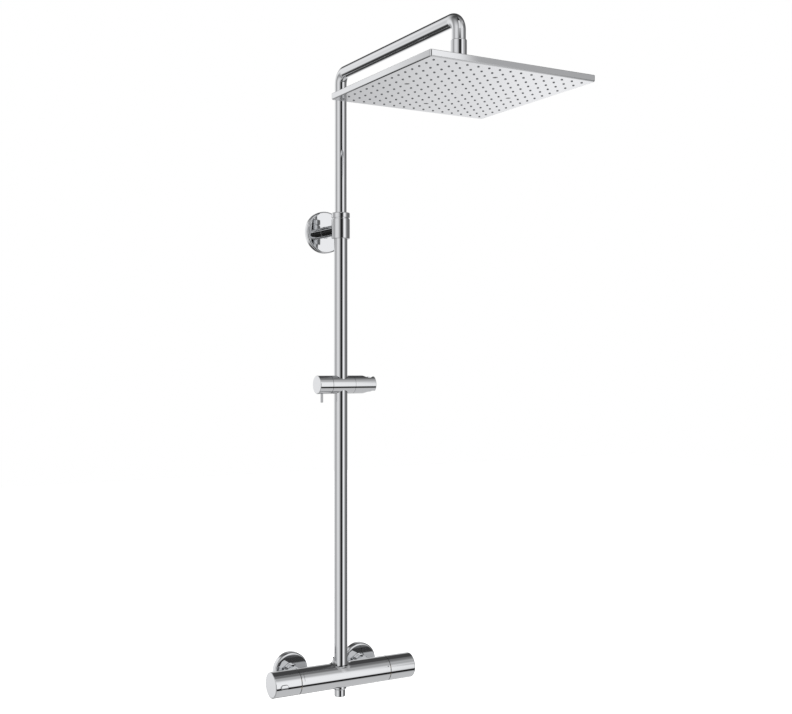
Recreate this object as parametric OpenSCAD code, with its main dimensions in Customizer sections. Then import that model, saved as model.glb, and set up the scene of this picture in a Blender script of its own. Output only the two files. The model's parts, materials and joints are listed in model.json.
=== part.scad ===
// Wall-mounted thermostatic shower column with a square rainfall head.
// +X runs along the mixer bar, the wall is the plane y = 0 with the column
// on the -Y side, and +Z is up. The origin lies on the wall, midway between
// the two water inlets.

/* [Wall inlets] */
// Distance between the hot and cold inlets
inlet_spacing = 150; // [146:0.5:156]
// Height of the wall inlets above the mixer bar's axis
union_offset = 5; // [3:0.5:6]
// Diameter of the inlet rosettes
rosette_d = 69; // [60:1:74]
// Depth of the inlet rosettes
rosette_depth = 13; // [11:0.5:14]

/* [Mixer bar] */
// Distance from the wall to the axis of the mixer and the column
column_reach = 71.5; // [70:0.5:80]
// Diameter of the mixer bar and its handles
mixer_d = 47.4; // [44:0.1:48]
// Left end of the mixer body, measured from the column
body_left = 90.5; // [88:0.5:94]
// Right end of the mixer body, measured from the column
body_right = 98.8; // [96:0.5:104]
// Length of the temperature handle
left_handle = 52.3; // [48:0.1:60]
// Length of the diverter handle
right_handle = 54.5; // [50:0.1:60]
// Width of the groove between a handle and the body
handle_gap = 1.2; // [0.8:0.1:1.6]
// Edge radius at the outer ends of the handles
handle_edge = 1.6; // [0.8:0.1:2.5]

/* [Column] */
// Outside diameter of the lower tube
lower_tube_d = 25.4; // [25.2:0.1:25.6]
// Outside diameter of the telescoping upper tube and arm
upper_tube_d = 22.2; // [22:0.05:22.3]
// Height of the wall bracket above the mixer axis
bracket_height = 846; // [760:1:900]
// Height of the arm's axis above the mixer axis
arm_height = 1140; // [1100:1:1200]
// Horizontal reach of the arm from the column to the shower head
arm_reach = 396; // [340:1:420]
// Bend radius of the arm's two elbows, on the centre line
bend_r = 20; // [16:1:30]

/* [Wall bracket] */
// Diameter of the bracket's rosette
bracket_rosette_d = 81; // [76:1:90]
// Depth of the bracket's rosette
bracket_rosette_depth = 10; // [9:0.5:12]
// Diameter of the sleeve and the lock ring around the column
sleeve_d = 34.6; // [33.6:0.1:36]
// Diameter of the spigot that joins the sleeve to the wall
spigot_d = 22; // [20:0.5:24]

/* [Handset holder] */
// Height of the handset holder above the mixer axis
holder_height = 551.5; // [450:0.5:650]
// Diameter of the holder
holder_d = 34.5; // [34:0.1:36]
// Length of the holder's middle body
holder_body_w = 47; // [44:0.5:50]
// Length of the clamp knob
knob_w = 26.9; // [24:0.1:30]
// Length of the handset cradle
cradle_w = 44.5; // [42:0.5:48]
// Width of the slot that lets the handset's hose in
hose_slot_w = 17; // [14:0.5:18]

/* [Shower head] */
// Side of the square shower head
head_side = 300; // [280:5:320]
// Thickness of the shower head's edge
head_edge = 10.5; // [10:0.1:12]
// Height of the underside of the shower head above the mixer axis
head_height = 1023.3; // [1015:0.1:1026]
// Nozzles along each side
nozzle_rows = 15; // [15:2:15]
// Distance between nozzles
nozzle_pitch = 19.3; // [18:0.1:19.4]

/* [Hidden] */
$fn = 96;

// Colours of the materials
chrome = [0.80, 0.82, 0.85];
brass = [0.80, 0.66, 0.36];
steel = [0.62, 0.63, 0.65];
rubber = [0.12, 0.12, 0.13];
plastic = [0.90, 0.90, 0.88];
silicone = [0.55, 0.57, 0.60];

// Radii of pipe threads, on the crests
g12_r = 10.48;
g34_r = 13.22;
// Overlap that keeps cutting shapes clear of the faces they cut
eps = 0.5;

// Places that the parts share
col_y = -column_reach;
mixer_z = -union_offset;
mixer_r = mixer_d / 2;
arm_z = mixer_z + arm_height;
head_y = col_y - arm_reach;
bracket_z = mixer_z + bracket_height;
holder_z = mixer_z + holder_height;
head_low = mixer_z + head_height;
head_top = head_low + head_edge;

// ---- plain helpers -------------------------------------------------------

// Cylinder along X, from x0 to x1
module rod_x(x0, x1, r) {
    translate([x0, 0, 0]) rotate([0, 90, 0]) cylinder(h = x1 - x0, r = r);
}

// Cylinder along Y, from y0 to y1
module rod_y(y0, y1, r) {
    translate([0, y0, 0]) rotate([-90, 0, 0]) cylinder(h = y1 - y0, r = r);
}

// Cylinder along Z, from z0 to z1
module rod_z(z0, z1, r) {
    translate([0, 0, z0]) cylinder(h = z1 - z0, r = r);
}

// Ring around Z, from z0 to z1
module ring_z(z0, z1, r_out, r_in) {
    difference() {
        rod_z(z0, z1, r_out);
        rod_z(z0 - eps, z1 + eps, r_in);
    }
}

// Ring around X, from x0 to x1
module ring_x(x0, x1, r_out, r_in) {
    difference() {
        rod_x(x0, x1, r_out);
        rod_x(x0 - eps, x1 + eps, r_in);
    }
}

// Ring around Y, from y0 to y1
module ring_y(y0, y1, r_out, r_in) {
    difference() {
        rod_y(y0, y1, r_out);
        rod_y(y0 - eps, y1 + eps, r_in);
    }
}

// Solid of revolution about X whose end at x = 0 has a rounded edge and
// whose body runs to x = length
module rounded_end_x(length, r, edge) {
    rotate([0, 90, 0]) rotate_extrude() {
        translate([0, edge]) square([r, length - edge]);
        square([r - edge, length]);
        translate([r - edge, edge]) circle(edge);
    }
}

// The same about Z, with the rounded edge at the top, at z = 0
module rounded_top_z(depth, r, edge) {
    rotate([0, 90, 0]) rounded_end_x(depth, r, edge);
}

// Round seal around Z
module seal_z(z, r_mid, r_section) {
    translate([0, 0, z]) rotate_extrude() translate([r_mid, 0]) circle(r_section);
}

// Square outline with rounded corners
module soft_square(side, corner) {
    square([side, side - 2 * corner], center = true);
    square([side - 2 * corner, side], center = true);
    for (sx = [-1, 1], sy = [-1, 1])
        translate([sx * (side / 2 - corner), sy * (side / 2 - corner)]) circle(corner);
}

// Moves its children to the mixer's axis, the column's axis or the holder's
module at_mixer() translate([0, col_y, mixer_z]) children();
module at_column() translate([0, col_y, 0]) children();
module at_holder() translate([0, col_y, holder_z]) children();
module at_head() translate([0, head_y, 0]) children();

// ---- wall inlets ---------------------------------------------------------

// Depths from the wall, along -Y
nut_front = 26;
stub_flange = 40;
nut_back = 46;
washer_t = 2;
union_bend = 18;
union_wall_r = 13;
inlet_bore_r = 8;
wall_thread = 16;

// Threaded wall connection whose mixer side sits lower than its wall side
module s_union(x) {
    color(chrome) translate([x, 0, 0]) difference() {
        union() {
            rod_y(0, wall_thread, g12_r);
            rod_y(-union_bend - 2, 0, union_wall_r);
            translate([0, 0, mixer_z]) rod_y(washer_t - stub_flange, -union_bend, g34_r);
        }
        rod_y(-union_bend - 1, wall_thread + eps, 7.5);
        translate([0, 0, mixer_z]) rod_y(-stub_flange, -union_bend + 1, inlet_bore_r);
    }
}

// Cup-shaped cover over the hole in the wall
module cover_cup(depth, r, edge, hole_r) {
    wall = 1.6;
    rotate([90, 0, 0]) translate([0, 0, depth]) difference() {
        rounded_top_z(depth, r, edge);
        rod_z(-depth - eps, -wall, r - wall - edge / 2);
        rod_z(-depth - eps, eps, hole_r);
    }
}

module inlet_rosette(x) {
    color(chrome) translate([x, 0, 0]) cover_cup(rosette_depth, rosette_d / 2, 3, union_wall_r + 0.05);
}

// Hexagonal nut that pulls the mixer's flange onto the union
module union_nut(x) {
    hex_r = 17.3;
    color(chrome) translate([x, 0, mixer_z]) difference() {
        rotate([90, 0, 0]) translate([0, 0, nut_front]) rotate([0, 0, 30])
            cylinder(h = nut_back - nut_front, r = hex_r, $fn = 6);
        rod_y(-stub_flange - 3.1, -nut_front + eps, g34_r + 0.03);
        rod_y(-nut_back - eps, -stub_flange, 10.6);
    }
}

module filter_washer(x) {
    color(rubber) translate([x, 0, mixer_z]) ring_y(-stub_flange, washer_t - stub_flange, 12.8, 7);
}

module check_valve(x) {
    color(plastic) translate([x, 0, mixer_z]) difference() {
        rod_y(-54.5, -41.5, inlet_bore_r - 0.1);
        rod_y(-52, -41, 5.5);
        rod_y(-55, -51, 3);
    }
}

// ---- mixer bar -----------------------------------------------------------

left_bore_r = 16;
right_bore_r = 15;
left_bore_end = -40;
right_bore_end = 35;
nut_seat = 7;
socket_r = lower_tube_d / 2 + 0.05;
socket_floor = 15;
socket_top = 28.3;
SOCKET_GROOVES = [17.5, 21];
socket_out_r = 14.8;
flare_r = socket_top - mixer_r;
nipple_neck_r = 9;
nipple_floor = -12;
spindle_r = 5;
tick_x = -84.8;
mark_x = 94;

// Socket for the lower tube, with a concave flare that stays close to the bar
module column_flare() {
    rod_z(5, socket_top, socket_out_r);
    intersection() {
        rotate_extrude() difference() {
            translate([0, 5]) square([socket_out_r + flare_r, socket_top - 5]);
            translate([socket_out_r + flare_r, socket_top]) circle(flare_r);
        }
        rod_x(-25, 25, mixer_r + 1.2);
    }
}

// Inlet stub with the flange that the union nut holds
module inlet_stub(x) {
    translate([x, -col_y, 0]) {
        rod_y(col_y + mixer_r - 4, -stub_flange, 10.5);
        rod_y(-stub_flange - 3, -stub_flange, 12.9);
    }
}

// Small recessed setting marks beside the two handles
module setting_marks() {
    for (a = [15 : 5 : 45])
        rotate([-a, 0, 0]) translate([tick_x, -mixer_r, 0]) cube([1, 0.5, 1.6], center = true);
    rotate([-23, 0, 0]) translate([mark_x, 0, 0]) rod_y(-mixer_r - 1, -mixer_r + 0.3, 1.3);
    rotate([-47, 0, 0]) translate([mark_x, 0, 0]) rod_y(-mixer_r - 1, -mixer_r + 0.3, 0.8);
}

module mixer_body() {
    color(chrome) at_mixer() difference() {
        union() {
            rod_x(-body_left, body_right, mixer_r);
            column_flare();
            inlet_stub(-inlet_spacing / 2);
            inlet_stub(inlet_spacing / 2);
        }
        // Cartridge bores and the mixed-water passage between them
        rod_x(-body_left - eps, left_bore_end, left_bore_r);
        rod_x(right_bore_end, body_right + eps, right_bore_r);
        rod_x(left_bore_end - eps, right_bore_end + eps, 4.5);
        // Passages from the diverter to the column and to the hose outlet
        translate([0, 0, 10.5]) rod_x(0, right_bore_end + eps, 3.8);
        translate([0, 0, -10.5]) rod_x(0, right_bore_end + eps, 3.8);
        rod_z(10, socket_top, 9);
        rod_z(socket_floor, socket_top + eps, socket_r);
        for (z = SOCKET_GROOVES) rod_z(z - 1, z + 1, lower_tube_d / 2 + 1.55);
        rod_z(-mixer_r - eps, nipple_floor, nipple_neck_r);
        rod_z(nipple_floor - eps, -10, 6);
        // Hot inlet straight into the thermostat, cold inlet along the back
        translate([-inlet_spacing / 2, 0, 0]) rod_y(0, -col_y - stub_flange + eps, inlet_bore_r);
        translate([inlet_spacing / 2, 0, 0]) rod_y(16, -col_y - stub_flange + eps, inlet_bore_r);
        translate([0, 18.6, 0]) rod_x(-60, inlet_spacing / 2, 3);
        setting_marks();
    }
}

module cartridge(x0, x1, r, nose_x, nose_r) {
    span = x1 - x0;
    difference() {
        union() {
            translate([min(x0, x1), 0, 0]) rod_x(0, abs(span), r);
            translate([min(x1, nose_x), 0, 0]) rod_x(0, abs(nose_x - x1), nose_r);
        }
        translate([min(x0, nose_x) - eps, 0, 0]) rod_x(0, abs(nose_x - x0) + 2 * eps, spindle_r + 0.05);
        // Grooves for the two seals
        for (k = [0.25, 0.65]) translate([x0 + k * span, 0, 0]) ring_x(-1.3, 1.3, r + 1, r - 1.7);
        // Side port
        translate([x0 + 0.45 * span, 0, 0]) rod_y(spindle_r, r + 1, 3);
    }
}

cartridge_gap = 0.2;
left_cart_in = left_bore_end - 1;
left_cart_out = -body_left + nut_seat + cartridge_gap;
right_cart_in = right_bore_end + 1;
right_cart_out = body_right - nut_seat - cartridge_gap;
nose_out = 21;

module thermostat_cartridge() {
    color(brass) at_mixer()
        cartridge(left_cart_in, left_cart_out, left_bore_r - cartridge_gap, -body_left - nose_out, 11);
}

module diverter_cartridge() {
    color(brass) at_mixer()
        cartridge(right_cart_in, right_cart_out, right_bore_r - cartridge_gap, body_right + nose_out, 10);
}

// Four round seals on the two cartridges
module cartridge_seals() {
    color(rubber) at_mixer() {
        for (k = [0.25, 0.65]) {
            translate([left_cart_in + k * (left_cart_out - left_cart_in), 0, 0])
                rotate([0, 90, 0]) seal_z(0, left_bore_r - 1, 0.9);
            translate([right_cart_in + k * (right_cart_out - right_cart_in), 0, 0])
                rotate([0, 90, 0]) seal_z(0, right_bore_r - 1, 0.9);
        }
    }
}

// Nut that holds a cartridge: a threaded skirt in the body and a hexagon outside
module lock_nut(face_x, side, skirt_r, hole_r) {
    color(brass) at_mixer() translate([face_x, 0, 0]) mirror([side < 0 ? 1 : 0, 0, 0]) difference() {
        union() {
            rod_x(-nut_seat, 0, skirt_r);
            rotate([0, 90, 0]) cylinder(h = 5, r = 18.4, $fn = 6);
        }
        rod_x(-nut_seat - eps, 5 + eps, hole_r);
    }
}

module thermostat_lock_nut() { lock_nut(-body_left, -1, left_bore_r - 0.05, 11.2); }
module diverter_lock_nut() { lock_nut(body_right, 1, right_bore_r - 0.05, 10.2); }

handle_wall = 2.6;
handle_floor = 3;
hub_r = 9;
grub_r = 2;
grub_x = 8;
left_end = body_left + handle_gap + left_handle;
right_end = body_right + handle_gap + right_handle;
button_x = -126.6;
button_l = 15;
button_w = 8.6;
button_travel = 2;
button_proud = 2.2;

// Hollow handle with its closed end at x = 0, open towards +X
module handle_shell(length) {
    difference() {
        union() {
            difference() {
                rounded_end_x(length, mixer_r, handle_edge);
                rod_x(handle_floor, length + eps, mixer_r - handle_wall);
            }
            rod_x(handle_floor - eps, 26, hub_r);
        }
        rod_x(handle_floor + 3, 26 + eps, spindle_r);
        // Grub screw in the hub, reached through the wall from below
        translate([grub_x, 0, 0]) rod_z(-mixer_r - 1, 0, grub_r);
    }
}

// Oblong outline of the button, in the handle's wall, along -Y
module button_prism(y0, y1, grow) {
    r = button_w / 2 + grow;
    half = button_l / 2 - button_w / 2;
    for (s = [-1, 1]) translate([s * half, 0, 0]) rod_y(y0, y1, r);
    translate([-half, y0, -r]) cube([2 * half, y1 - y0, 2 * r]);
}

module temperature_handle() {
    color(chrome) at_mixer() difference() {
        translate([-left_end, 0, 0]) handle_shell(left_handle);
        translate([button_x, 0, 0]) button_prism(-mixer_r - 1, -mixer_r + 6, 0.15);
    }
}

module diverter_handle() {
    color(chrome) at_mixer() translate([right_end, 0, 0]) mirror([1, 0, 0]) handle_shell(right_handle);
}

module spindle(x0, x1) {
    color(brass) at_mixer() rod_x(x0, x1, spindle_r);
}

module thermostat_spindle() { spindle(-left_end + handle_floor + 3, -60); }
module diverter_spindle() { spindle(60, right_end - handle_floor - 3); }

module handle_grub_screw(x) {
    color(steel) at_mixer() translate([x, 0, 0]) difference() {
        rod_z(-hub_r, -spindle_r, grub_r);
        translate([0, 0, -hub_r - 1]) cylinder(h = 3, r = 1.1, $fn = 6);
    }
}

module temperature_grub_screw() { handle_grub_screw(-left_end + grub_x); }
module diverter_grub_screw() { handle_grub_screw(right_end - grub_x); }

button_face = -mixer_r - button_proud;
button_inner = -mixer_r + handle_wall + 1;

// Oblong release button with an inner flange and a stem for its spring
module safety_button() {
    color(chrome) at_mixer() translate([button_x, 0, 0]) {
        intersection() {
            button_prism(button_face, button_inner - 0.8, 0);
            rod_x(-button_l, button_l, mixer_r + button_proud);
        }
        intersection() {
            translate([-button_l / 2 - 1, button_inner - 0.8, -button_w / 2 - 1])
                cube([button_l + 2, 1.4, button_w + 2]);
            rod_x(-button_l, button_l, mixer_r - handle_wall - 0.1);
        }
        rod_y(button_inner, -12.6, 1.8);
    }
}

// Return spring, drawn as a sleeve of its outer size at its pressed length
module button_spring() {
    color(steel) at_mixer() translate([button_x, 0, 0])
        ring_y(button_inner + button_travel + 0.8, -hub_r - 0.2, 3.2, 2.2);
}

module hose_nipple() {
    color(chrome) at_mixer() difference() {
        union() {
            rod_z(-mixer_r, nipple_floor - 1.6, nipple_neck_r - 0.05);
            rotate_extrude() polygon([[0, -17], [0, -39.6], [9.4, -39.6], [g12_r, -38.3], [g12_r, -26.4],
                [11, -25.8], [12.8, -24], [12.8, -17]]);
        }
        rod_z(-41, 0, 6);
        bar_space();
    }
}

// Space taken by the mixer bar, which seats the nipple's shoulder
module bar_space() {
    difference() {
        rod_x(-30, 30, mixer_r);
        rod_z(-mixer_r - 1, 0, nipple_neck_r);
    }
}

module nipple_seal() {
    color(rubber) at_mixer() ring_z(nipple_floor - 1.6, nipple_floor, 8.9, 6);
}

// ---- column --------------------------------------------------------------

lower_r = lower_tube_d / 2;
lower_bore_r = 11.2;
upper_r = upper_tube_d / 2;
upper_bore_r = upper_r - 1.2;
sleeve_r = sleeve_d / 2;
// Levels of the bracket's sleeve and lock ring, from the bracket's axis
sleeve_low = bracket_z - 18.7;
sleeve_high = bracket_z + 18.7;
ring_low = bracket_z + 21;
ring_high = bracket_z + 30.6;
sleeve_seat = bracket_z + 12;
tube_top = sleeve_seat - 0.5;
riser_low = 650 + mixer_z;

module lower_tube() {
    color(chrome) at_column() ring_z(mixer_z + socket_floor, tube_top, lower_r, lower_bore_r);
}

// Round seals in the two grooves of the mixer's socket
module column_seals() {
    color(rubber) at_column() for (z = SOCKET_GROOVES) seal_z(mixer_z + z, lower_r + 0.78, 0.72);
}

module bracket_sleeve() {
    color(chrome) at_column() difference() {
        union() {
            rod_z(sleeve_low + 2, sleeve_high, sleeve_r);
            translate([0, 0, sleeve_low]) mirror([0, 0, 1]) rounded_top_z(2.2, sleeve_r, 2);
        }
        rod_z(sleeve_low - 3, sleeve_seat, lower_r + 0.03);
        rod_z(sleeve_seat, sleeve_high + eps, 15.6);
        translate([0, 0, bracket_z]) rod_y(lower_r - 2, sleeve_r + 1, 3);
    }
}

// Soft grip ring around the upper tube, pressed by the lock ring
module riser_collet() {
    color(plastic) at_column() ring_z(sleeve_seat + 0.1, sleeve_seat + 9, 13, upper_r + 0.08);
}

module height_lock_ring() {
    color(chrome) at_column() difference() {
        union() {
            translate([0, 0, ring_high]) rounded_top_z(ring_high - ring_low, sleeve_r, 1.4);
            rod_z(sleeve_seat + 0.4, ring_low + eps, 15.5);
        }
        rod_z(sleeve_seat, sleeve_seat + 9.1, 13.08);
        rod_z(sleeve_seat + 9, ring_high + eps, upper_r + 0.08);
    }
}

plate_t = 5;
stud_r = 8;
stud_end = 20;
screw_x = 20;
screw_r = 2.2;
screw_depth = 28;

module bracket_wall_plate() {
    color(steel) translate([0, 0, bracket_z]) difference() {
        union() {
            rod_y(-plate_t, 0, 30);
            rod_y(-stud_end, -plate_t + eps, stud_r);
        }
        for (s = [-1, 1]) translate([s * screw_x, 0, 0]) {
            rod_y(-plate_t - eps, eps, screw_r + 0.2);
            rotate([90, 0, 0]) translate([0, 0, plate_t - 2.4]) cylinder(h = 2.5, r1 = screw_r + 0.2, r2 = 4.9);
        }
        // Cross groove for the grub screw's tip
        translate([0, -14, -stud_r]) cube([20, 4.4, 2.4], center = true);
    }
}

// Two countersunk screws into the wall
module bracket_screws() {
    color(steel) translate([0, 0, bracket_z]) for (s = [-1, 1]) translate([s * screw_x, 0, 0]) difference() {
        union() {
            rod_y(-plate_t + 0.5, eps, screw_r - 0.2);
            rod_y(0, screw_depth, screw_r);
            rotate([90, 0, 0]) translate([0, 0, plate_t - 2.6]) cylinder(h = 2.5, r1 = screw_r - 0.2, r2 = 4.6);
        }
        translate([0, -plate_t, 0]) cube([5, 1.6, 1.1], center = true);
        translate([0, -plate_t, 0]) cube([1.1, 1.6, 5], center = true);
    }
}

module bracket_rosette() {
    color(chrome) translate([0, 0, bracket_z])
        cover_cup(bracket_rosette_depth, bracket_rosette_d / 2, 3, spigot_d / 2 + 0.1);
}

spigot_base = plate_t + 0.2;
module bracket_spigot() {
    color(chrome) translate([0, 0, bracket_z]) difference() {
        rod_y(col_y + 10, -spigot_base, spigot_d / 2);
        rod_y(-stud_end - 0.3, 0, stud_r + 0.05);
        rod_y(col_y + sleeve_r + 4, -stud_end, 5.5);
        rod_y(col_y, -stud_end, 3.05);
        translate([0, -14, 0]) rod_z(-spigot_d, 0, grub_r);
        translate([0, col_y, 0]) rod_z(-30, 30, sleeve_r);
    }
}

module spigot_grub_screw() {
    color(steel) translate([0, -14, bracket_z]) difference() {
        rod_z(-spigot_d / 2 + 0.3, -stud_r + 1, grub_r);
        translate([0, 0, -spigot_d / 2 - 1]) cylinder(h = 2.6, r = 1.1, $fn = 6);
    }
}

// Bolt inside the spigot, screwed into the back of the sleeve
module spigot_bolt() {
    color(steel) translate([0, 0, bracket_z]) difference() {
        union() {
            rod_y(col_y + lower_r + 0.6, col_y + sleeve_r + 5, 3);
            rod_y(col_y + sleeve_r + 4.05, col_y + sleeve_r + 8, 5.2);
        }
        rotate([90, 0, 0]) translate([0, 0, -col_y - sleeve_r - 9]) cylinder(h = 4, r = 2.5, $fn = 6);
    }
}

// ---- telescoping riser and arm -------------------------------------------

riser_end = arm_z - bend_r;
drop_end = arm_z - 48;

// Centre line of the riser and arm, swept with radius r
module arm_path(r, z_low, z_drop) {
    at_column() rod_z(z_low, riser_end, r);
    translate([0, col_y - bend_r, riser_end]) rotate([90, 0, 90])
        rotate_extrude(angle = 90) translate([bend_r, 0]) circle(r);
    translate([0, 0, arm_z]) rod_y(head_y + bend_r, col_y - bend_r, r);
    translate([0, head_y + bend_r, riser_end]) rotate([90, 0, 90]) rotate([0, 0, 90])
        rotate_extrude(angle = 90) translate([bend_r, 0]) circle(r);
    at_head() rod_z(z_drop, riser_end, r);
}

module riser_arm() {
    color(chrome) difference() {
        arm_path(upper_r, riser_low, drop_end);
        arm_path(upper_bore_r, riser_low - 1, drop_end - 1);
    }
}

// Plastic piston on the riser's lower end, running in the lower tube
module riser_guide() {
    color(plastic) at_column() difference() {
        union() {
            rod_z(riser_low - 22, riser_low - 0.1, lower_bore_r - 0.06);
            rod_z(riser_low - 1, riser_low + 14, upper_bore_r - 0.05);
        }
        rod_z(riser_low - 23, riser_low + 15, 7);
        for (z = [6, 15]) ring_z(riser_low - z - 1.2, riser_low - z + 1.2, lower_bore_r + 1, lower_bore_r - 2);
    }
}

module riser_seals() {
    color(rubber) at_column() for (z = [6, 15]) seal_z(riser_low - z, lower_bore_r - 1.02, 0.95);
}

collar_r = 12.7;
collar_top = mixer_z + 1104.3;
collar_low = mixer_z + 1070;
thread_seat = drop_end - 3;

// Threaded end piece in the arm
module arm_connector() {
    color(brass) at_head() difference() {
        union() {
            rod_z(drop_end, drop_end + 10, upper_bore_r);
            rod_z(thread_seat, drop_end, upper_r);
            rod_z(collar_low + 6, thread_seat, 10.4);
        }
        rod_z(collar_low, drop_end + 11, 6.5);
    }
}

module connector_washer() {
    color(rubber) at_head() ring_z(collar_low + 4, collar_low + 6, 10.3, 6);
}

// ---- shower head and its ball joint --------------------------------------

ball_z = mixer_z + 1049;
ball_r = 13;
seat_r = 15;
seat_gap = 0.05;
neck_r = 6;
lip_r = 9.3;

// Collar that screws onto the arm, with the ball below it
module ball_stem() {
    color(chrome) at_head() difference() {
        union() {
            rod_z(collar_low, collar_top, collar_r);
            rod_z(ball_z, collar_low + 1, neck_r);
            translate([0, 0, ball_z]) sphere(ball_r);
        }
        rod_z(thread_seat, collar_top + eps, upper_r + 0.03);
        rod_z(collar_low + 4, thread_seat + eps, 10.45);
        rod_z(ball_z - ball_r - 1, collar_low + 5, 4);
    }
}

// Ring cut from a spherical shell, between two heights about the ball's centre
module ball_seat(h0, h1) {
    color(plastic) at_head() translate([0, 0, ball_z]) intersection() {
        difference() {
            sphere(seat_r);
            sphere(ball_r + seat_gap);
        }
        rod_z(h0, h1, seat_r + 1);
    }
}

module lower_ball_seat() { ball_seat(-10, -3); }
module upper_ball_seat() { ball_seat(1, 6.4); }

boss_r = 20;
nut_top = 13.5;

// Nut over the ball, screwed onto the boss of the head
module ball_nut() {
    color(chrome) at_head() translate([0, 0, ball_z]) difference() {
        union() {
            rod_z(-10, 4, 23);
            rotate_extrude() polygon([[0, 4], [23, 4], [18, nut_top], [0, nut_top]]);
        }
        rod_z(-10 - eps, 0.5, boss_r + 0.04);
        intersection() {
            sphere(seat_r + seat_gap);
            rod_z(-1, 7.2, seat_r + 1);
        }
        sphere(ball_r + 0.1);
        translate([0, 0, 9]) cylinder(h = 5, r1 = lip_r, r2 = 11.3);
    }
}

shell_wall = 1.6;
plate_z = 1.5;
mat_t = 1;
nozzle_r = 2;
grid_half = (nozzle_rows - 1) / 2;
fixing_step = 5;
fixing = fixing_step * nozzle_pitch;
corner_r = 3;
cap_r = 6;
cap_stem_r = 3;

// Places of the four fixing screws
FIXINGS = [[fixing, 0], [-fixing, 0], [0, fixing], [0, -fixing]];

// True where the grid holds a screw or the centre cap and no nozzle
function is_fixing(i, j) = (i == 0 && (j == 0 || abs(j) == fixing_step)) || (j == 0 && abs(i) == fixing_step);

// A dot of radius r at each nozzle of the grid
module nozzle_dots(r) {
    for (i = [-grid_half : grid_half], j = [-grid_half : grid_half])
        if (!is_fixing(i, j)) translate([i * nozzle_pitch, j * nozzle_pitch]) circle(r, $fn = 24);
}

module head_shell() {
    color(chrome) at_head() difference() {
        union() {
            translate([0, 0, head_low]) linear_extrude(head_edge) soft_square(head_side, corner_r);
            rod_z(head_top - 1, ball_z, boss_r);
        }
        difference() {
            translate([0, 0, head_low - eps])
                linear_extrude(head_edge - shell_wall + eps) soft_square(head_side - 2 * shell_wall, corner_r - 1.5);
            // Bosses that the screws hold in, and the thick floor under the ball
            for (p = FIXINGS) translate([p[0], p[1], 0]) rod_z(head_low + plate_z + mat_t, head_top, 4.5);
            rod_z(head_top - 5, head_top, 26);
        }
        for (p = FIXINGS) translate([p[0], p[1], 0]) rod_z(head_low, head_top - 2.4, 1.6);
        translate([0, 0, ball_z]) sphere(seat_r + seat_gap);
        rod_z(head_low - 1, ball_z, 6);
    }
}

// Silicone mat with one nozzle for each hole of the spray plate
module nozzle_mat() {
    color(silicone) at_head() {
        translate([0, 0, head_low + plate_z]) linear_extrude(mat_t) difference() {
            soft_square(head_side - 2 * shell_wall - 0.4, corner_r - 1.5);
            for (p = FIXINGS) translate(p) circle(2.4);
            circle(cap_stem_r + 0.1);
        }
        translate([0, 0, head_low - 1]) linear_extrude(plate_z + 1.2) nozzle_dots(nozzle_r - 0.1);
    }
}

module spray_plate() {
    color(chrome) at_head() difference() {
        translate([0, 0, head_low]) linear_extrude(plate_z) difference() {
            soft_square(head_side - 2 * shell_wall - 0.1, corner_r - 1.5);
            nozzle_dots(nozzle_r);
            for (p = FIXINGS) translate(p) circle(2.1);
            circle(cap_r + 0.1);
        }
        for (p = FIXINGS) translate([p[0], p[1], head_low - 0.01]) cylinder(h = 1.2, r1 = 4.1, r2 = 2.1);
    }
}

// Four countersunk screws that hold the spray plate
module head_screws() {
    color(steel) at_head() for (p = FIXINGS) translate([p[0], p[1], head_low]) difference() {
        union() {
            cylinder(h = 1.2, r1 = 4, r2 = 2);
            cylinder(h = 2.4, r = 2);
            rod_z(1, 7.4, 1.6);
        }
        translate([0, 0, -eps]) cylinder(h = 1.3, r = 1.2, $fn = 6);
    }
}

// Flush push-in cap in the middle of the spray plate
module centre_cap() {
    color(chrome) at_head() {
        rod_z(head_low, head_low + plate_z, cap_r);
        rod_z(head_low, head_low + plate_z + mat_t + 0.6, cap_stem_r);
    }
}

// ---- handset holder ------------------------------------------------------

holder_r = holder_d / 2;
half_body = holder_body_w / 2;
bush_r = 13.6;
seam = 0.5;
knob_in = -half_body - seam;
knob_out = knob_in - knob_w;
cradle_in = half_body + seam;
cradle_out = cradle_in + cradle_w;
pad_r = 7.4;
pocket_floor = -18.8;
screw_tip = -16.9;
trunnion_r = 8;
pivot_r = 2.5;

module holder_bush() {
    color(plastic) at_holder() ring_z(-10.4, 10.4, bush_r, lower_r + 0.05);
}

module holder_body() {
    color(chrome) at_holder() difference() {
        rod_x(-half_body, half_body, holder_r);
        rod_z(-holder_r - 1, holder_r + 1, bush_r + 0.06);
        rod_x(pocket_floor, 0, pad_r + 0.05);
        rod_x(-half_body - eps, 0, 4.05);
        rod_x(half_body - 5, half_body + eps, trunnion_r + 0.05);
        rod_x(0, half_body, pivot_r);
    }
}

// Pivot screw of the cradle, threaded into the holder's body
module cradle_screw() {
    color(steel) at_holder() difference() {
        union() {
            rod_x(14.4, cradle_in + 17.2, pivot_r);
            rod_x(cradle_in + 17, cradle_in + 20, 4.5);
        }
        translate([cradle_in + 18.4, 0, 0]) rotate([0, 90, 0]) cylinder(h = 3, r = 2, $fn = 6);
    }
}

module cradle_washer() {
    color(steel) at_holder() ring_x(half_body - 4.95, half_body - 4.1, 7.5, pivot_r + 0.05);
}

// Pressure pad that the clamp screw drives against the bush
module clamp_pad() {
    color(plastic) at_holder() difference() {
        rod_x(pocket_floor + 0.9, -bush_r - 0.15, pad_r);
        rod_x(-half_body, -16, 4.1);
    }
}

module clamp_screw() {
    color(steel) at_holder() rod_x(knob_out + 6, screw_tip, 4);
}

pin_x = -40.5;
pin_r = 2.5;
pin_reach = 33.5;

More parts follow.
